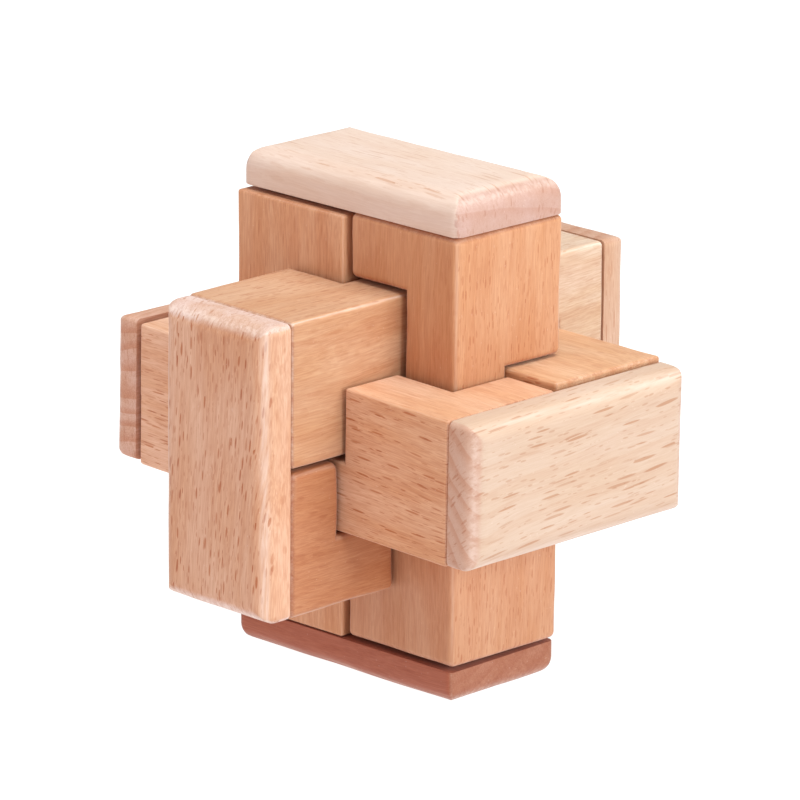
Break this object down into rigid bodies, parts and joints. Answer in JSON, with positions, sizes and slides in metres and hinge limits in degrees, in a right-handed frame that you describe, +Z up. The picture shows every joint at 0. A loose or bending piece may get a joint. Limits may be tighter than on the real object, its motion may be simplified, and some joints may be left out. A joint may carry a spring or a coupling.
{
  "type": "wooden burr puzzle",
  "caption": "Interlocking wooden burr puzzle: six notched square bars in three crossing pairs, each bar with a thin cap plate glued on one end.",
  "frame": {"origin": "under the middle of the puzzle, on the surface that the bottom plate rests on", "axes": "+Z up along the pair of uprights, +X along the cross bars towards the right plate, +Y along the deep bars towards the back plate"},
  "size_m": [0.0604, 0.0604, 0.0614],
  "materials": {
    "upright_bar_right_wood": "sanded and oiled beech, orange-brown",
    "top_plate_wood": "sanded beech, pale cream",
    "deep_bar_upper_wood": "sanded beech, light yellow-orange, mottled",
    "back_plate_wood": "sanded beech, pale",
    "cross_bar_back_wood": "sanded beech, darker orange with light edges",
    "left_plate_wood": "sanded beech, pinkish end grain",
    "upright_bar_left_wood": "sanded beech, orange-brown",
    "bottom_plate_wood": "sanded beech, reddish-brown",
    "deep_bar_lower_wood": "sanded beech, reddish with dark flecks",
    "front_plate_wood": "sanded beech, medium tan with short dark flecks",
    "cross_bar_front_wood": "sanded beech, tan-orange with flecks",
    "right_plate_wood": "sanded beech, pale cream with long flecks"
  },
  "bodies": {
    "left_upright_piece": {"upright_bar_left": "upright_bar_left_wood", "bottom_plate": "bottom_plate_wood"},
    "back_cross_piece": {"cross_bar_back": "cross_bar_back_wood", "left_plate": "left_plate_wood"},
    "upper_deep_piece": {"deep_bar_upper": "deep_bar_upper_wood", "back_plate": "back_plate_wood"},
    "right_upright_piece": {"upright_bar_right": "upright_bar_right_wood", "top_plate": "top_plate_wood"},
    "lower_deep_piece": {"deep_bar_lower": "deep_bar_lower_wood", "front_plate": "front_plate_wood"},
    "front_cross_piece": {"cross_bar_front": "cross_bar_front_wood", "right_plate": "right_plate_wood"}
  },
  "joints": [
    {"name": "upper_half_lift", "type": "slide", "parent": "left_upright_piece", "child": "back_cross_piece", "axis": [0, 0, 1], "range_m": [0, 0.06]},
    {"name": "upper_half_spread", "type": "slide", "parent": "back_cross_piece", "child": "upper_deep_piece", "axis": [1, 0, 0], "range_m": [0, 0.06]},
    {"name": "right_upright_draw", "type": "slide", "parent": "upper_deep_piece", "child": "right_upright_piece", "axis": [0, -1, 0], "range_m": [0, 0.06]},
    {"name": "front_half_draw", "type": "slide", "parent": "left_upright_piece", "child": "lower_deep_piece", "axis": [0, -1, 0], "range_m": [0, 0.06]},
    {"name": "lower_half_spread", "type": "slide", "parent": "lower_deep_piece", "child": "front_cross_piece", "axis": [1, 0, 0], "range_m": [0, 0.06]}
  ],
  "couplings": [
    {"joint": "right_upright_draw", "follows": "front_half_draw", "ratio": 1},
    {"joint": "lower_half_spread", "follows": "upper_half_spread", "ratio": 1}
  ]
}
